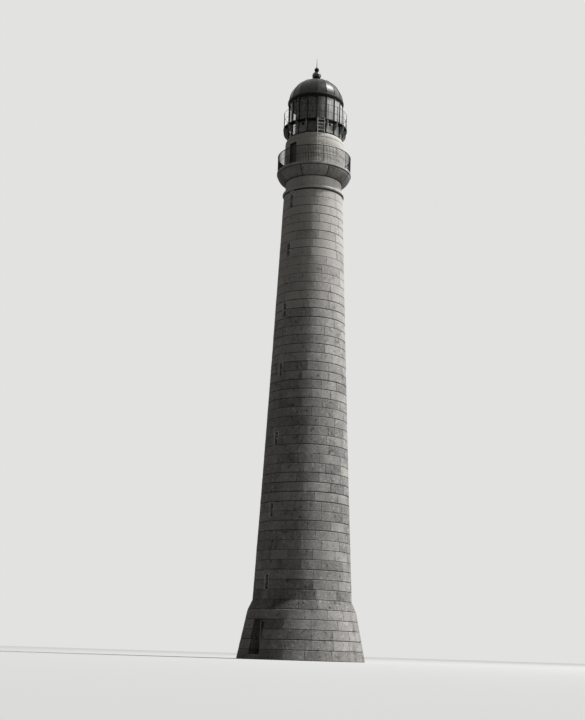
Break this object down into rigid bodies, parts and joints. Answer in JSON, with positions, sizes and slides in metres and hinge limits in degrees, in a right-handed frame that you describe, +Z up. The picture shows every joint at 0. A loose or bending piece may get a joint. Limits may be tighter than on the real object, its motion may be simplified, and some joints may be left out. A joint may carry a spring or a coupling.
{
  "type": "half-size scale model of a lighthouse",
  "caption": "Tall tapering granite lighthouse tower on a battered plinth, with a railed gallery, a round watch room and an iron and glass lantern under a domed roof.",
  "frame": {"origin": "centre of the underside of the foundation, on the tower's axis", "axes": "+Z up along the tower's axis, -Y towards the entrance and the column of windows"},
  "size_m": [4.05, 4.05, 20.7735],
  "materials": {
    "granite": "rough split stone",
    "iron": "black paint",
    "roof_metal": "painted sheet",
    "white_paint": "white paint",
    "door_wood": "dark painted boards",
    "linen": "unbleached linen",
    "glass": "clear"
  },
  "bodies": {
    "root": {"foundation": "granite", "plinth_back": "granite", "plinth_left": "granite", "plinth_right": "granite", "plinth_over_entrance": "granite", "shaft_lower_left": "granite", "shaft_lower_right": "granite", "shaft_middle_left": "granite", "shaft_middle_right": "granite", "shaft_upper_left": "granite", "shaft_upper_right": "granite", "shaft_top_left": "granite", "shaft_top_right": "granite", "shaft_between_windows": "granite", "astragal_course": "granite", "necking_course": "granite", "cornice_course": "granite", "gallery_deck": "granite", "watch_room_floor": "granite", "watch_room_wall_back": "granite", "watch_room_wall_left": "granite", "watch_room_wall_right": "granite", "watch_room_door_lintel": "granite", "watch_room_coping": "granite", "window_frames": "white_paint", "window_glass": "glass", "entrance_frame": "white_paint", "entrance_door": "door_wood", "gallery_door": "iron", "lantern_floor": "iron", "lantern_frame": "iron", "lantern_glass": "glass", "lantern_low_glass": "glass", "lantern_vent_panels": "iron", "catwalk_deck": "iron", "catwalk_brackets": "iron", "catwalk_railing": "iron", "gallery_railing": "iron", "ladder": "white_paint", "lantern_gutter": "iron", "dome": "roof_metal", "ventilator_ball": "iron", "lightning_spike": "iron", "day_curtain": "linen", "curtain_hoop": "iron"}
  },
  "joints": []
}
